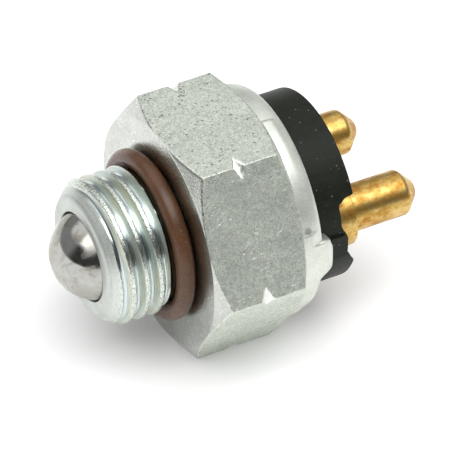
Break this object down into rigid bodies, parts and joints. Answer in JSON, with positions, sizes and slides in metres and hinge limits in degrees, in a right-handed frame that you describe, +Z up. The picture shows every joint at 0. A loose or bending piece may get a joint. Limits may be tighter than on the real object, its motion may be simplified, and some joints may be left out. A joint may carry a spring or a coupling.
{
  "type": "ball-operated plunger switch",
  "caption": "Threaded hex-bodied switch with a spring-loaded ball in its nose, a boss seal ring and bullet terminals in a crimped black base.",
  "frame": {"origin": "on the surface the switch lies on, under the middle of its length, below the axis of the thread", "axes": "+X along the axis from the ball towards the terminals, +Z up out of the hex flat opposite the one it lies on, +Y across the flats' corners"},
  "size_m": [0.0344, 0.0256, 0.0222],
  "materials": {
    "zinc_plated_steel": "bright zinc plate",
    "ball_steel": "polished",
    "plain_steel": "ground",
    "spring_steel": "drawn wire",
    "brass": "turned and lightly tarnished",
    "silver_contact": "satin",
    "brown_rubber": "moulded, satin",
    "black_rubber": "moulded, matte",
    "black_phenolic": "moulded, satin",
    "nylon": "moulded",
    "red_fibre": "pressed fibre"
  },
  "bodies": {
    "switch_body": {"housing": "zinc_plated_steel", "seat_o_ring": "brown_rubber", "guide_bush": "brass", "base_gasket": "red_fibre", "insulator_base": "black_phenolic", "crimp_washer": "red_fibre", "return_spring": "spring_steel", "terminal_near": "brass", "terminal_far": "brass", "rivet_washer_near": "brass", "rivet_washer_far": "brass"},
    "plunger_group": {"plunger": "plain_steel", "plunger_seal": "black_rubber", "bridge_carrier": "nylon", "contact_spring": "spring_steel", "bridge_washer": "nylon", "stem_clip": "spring_steel"},
    "ball_group": {"ball": "ball_steel"},
    "bridge_group": {"contact_bridge": "brass", "contact_button_near": "silver_contact", "contact_button_far": "silver_contact"}
  },
  "joints": [
    {"name": "plunger_slide", "type": "slide", "parent": "switch_body", "child": "plunger_group", "axis": [1, 0, 0], "range_m": [0, 0.0016], "stiffness_N_per_m": 2000, "springref_m": -0.004, "deforming": ["return_spring"]},
    {"name": "ball_roll", "type": "hinge", "parent": "plunger_group", "child": "ball_group", "pos_m": [-0.01277, 0, 0.0111], "axis": [0, 1, 0], "continuous": true},
    {"name": "bridge_float", "type": "slide", "parent": "plunger_group", "child": "bridge_group", "axis": [1, 0, 0], "range_m": [-0.00035, 0], "stiffness_N_per_m": 400, "springref_m": 0.002, "deforming": ["contact_spring"]}
  ]
}
